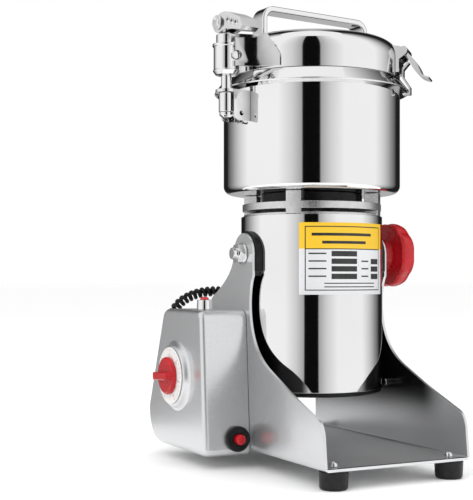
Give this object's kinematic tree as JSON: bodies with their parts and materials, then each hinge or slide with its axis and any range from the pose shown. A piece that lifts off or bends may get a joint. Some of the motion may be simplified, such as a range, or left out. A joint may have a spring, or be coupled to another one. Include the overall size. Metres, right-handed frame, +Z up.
{
  "type": "tilting grain mill",
  "caption": "Upright high-speed grain mill: lidded steel grinding bowl on a motor cylinder that tilts between the cheeks of a tray-shaped cradle, with a timer box.",
  "frame": {"origin": "centre of the bounding box on the surface the rubber feet stand on", "axes": "+Z up along the upright motor, -Y towards the open front of the tray, +X towards the lock knob"},
  "size_m": [0.2302, 0.2586, 0.406],
  "materials": {
    "silver_paint": "silver-grey satin paint on bent sheet",
    "polished_steel": "mirror-polished stainless steel",
    "chrome": "bright chrome plate",
    "cast_aluminium": "machined casting",
    "motor_iron": "laminated iron with varnished copper windings",
    "bearing_steel": "ground steel",
    "blade_steel": "hardened steel, fine ground",
    "red_gloss_plastic": "glossy red moulding",
    "black_plastic": "satin black moulding",
    "black_rubber": "black rubber",
    "silicone": "translucent white silicone",
    "white_print": "white plate with a ring of tick marks",
    "label_print": "printed foil label, yellow band over white"
  },
  "bodies": {
    "base": {"cradle": "silver_paint", "pivot_bolt": "polished_steel", "stop_pin_left": "polished_steel", "stop_pin_right": "polished_steel", "foot_front_left": "black_rubber", "foot_front_right": "black_rubber", "foot_rear_left": "black_rubber", "foot_rear_right": "black_rubber", "foot_screw_front_left": "polished_steel", "foot_screw_front_right": "polished_steel", "foot_screw_rear_left": "polished_steel", "foot_screw_rear_right": "polished_steel", "control_box_cover": "silver_paint", "dial_plate": "white_print", "timer_body": "black_plastic", "breaker_body": "black_plastic", "lamp_bezel": "chrome", "lamp_lens": "red_gloss_plastic", "power_inlet": "black_plastic", "box_gland": "black_rubber", "curly_cord": "black_rubber"},
    "timer_knob": {"timer_knob": "red_gloss_plastic"},
    "reset_button": {"reset_button": "red_gloss_plastic"},
    "lock_knob": {"lock_knob": "red_gloss_plastic", "lock_stud": "polished_steel"},
    "swing_head": {"motor_housing": "polished_steel", "motor_end_cap": "black_plastic", "neck_casting": "cast_aluminium", "stator": "motor_iron", "lower_bearing": "bearing_steel", "upper_bearing": "bearing_steel", "brush_yoke": "black_plastic", "saddle_left": "black_plastic", "saddle_right": "black_plastic", "bowl": "polished_steel", "shaft_seal": "black_rubber", "bowl_bracket": "polished_steel", "lower_sleeve": "polished_steel", "rating_plate": "label_print", "motor_gland": "black_rubber"},
    "rotor": {"rotor_shaft": "bearing_steel", "armature": "motor_iron", "cooling_fan": "black_plastic", "lower_blade": "blade_steel", "upper_blade": "blade_steel", "blade_nut": "blade_steel"},
    "hinge_post": {"hinge_post": "polished_steel", "cam_pin": "polished_steel", "lid_spring": "bearing_steel"},
    "cam_lever": {"cam_lever": "polished_steel"},
    "lid": {"lid_shell": "polished_steel", "lid_handle": "polished_steel", "lid_gasket": "silicone", "hinge_leaf": "polished_steel", "spring_sleeve": "polished_steel", "pressure_collar": "polished_steel", "sleeve_set_screw": "polished_steel", "latch_bracket": "polished_steel"},
    "latch_lever": {"latch_lever": "polished_steel", "latch_hook": "polished_steel"}
  },
  "joints": [
    {"name": "head_tilt", "type": "hinge", "parent": "base", "child": "swing_head", "pos_m": [0.01665, 0.0117, 0.1875], "axis": [1, 0, 0], "range_deg": [0, 90], "deforming": ["curly_cord"]},
    {"name": "rotor_spin", "type": "hinge", "parent": "swing_head", "child": "rotor", "pos_m": [0.01665, 0.0117, 0.15], "axis": [0, 0, 1], "continuous": true},
    {"name": "lid_swing", "type": "hinge", "parent": "swing_head", "child": "hinge_post", "pos_m": [-0.07935, -0.00801, 0.34], "axis": [0, 0, -1], "range_deg": [0, 120]},
    {"name": "cam_release", "type": "hinge", "parent": "hinge_post", "child": "cam_lever", "pos_m": [-0.07935, -0.00801, 0.3835], "axis": [-0.9796, -0.2011, 0], "range_deg": [0, 120]},
    {"name": "lid_lift", "type": "slide", "parent": "hinge_post", "child": "lid", "axis": [0, 0, 1], "range_m": [0, 0.0015]},
    {"name": "latch_release", "type": "hinge", "parent": "lid", "child": "latch_lever", "pos_m": [0.0776, -0.04925, 0.366], "axis": [-0.7071, -0.7071, 0], "range_deg": [0, 60]},
    {"name": "lock_knob_turn", "type": "hinge", "parent": "base", "child": "lock_knob", "pos_m": [0.10165, 0.0117, 0.1875], "axis": [1, 0, 0], "range_deg": [0, 360]},
    {"name": "timer_turn", "type": "hinge", "parent": "base", "child": "timer_knob", "pos_m": [-0.10335, 0.0577, 0.078], "axis": [-1, 0, 0], "range_deg": [0, 300]},
    {"name": "reset_press", "type": "slide", "parent": "base", "child": "reset_button", "axis": [0, 1, 0], "range_m": [0, 0.003], "stiffness_N_per_m": 300, "springref_m": -0.002}
  ],
  "couplings": [
    {"joint": "cam_release", "follows": "lid_lift", "rad_per_m": 1396}
  ]
}
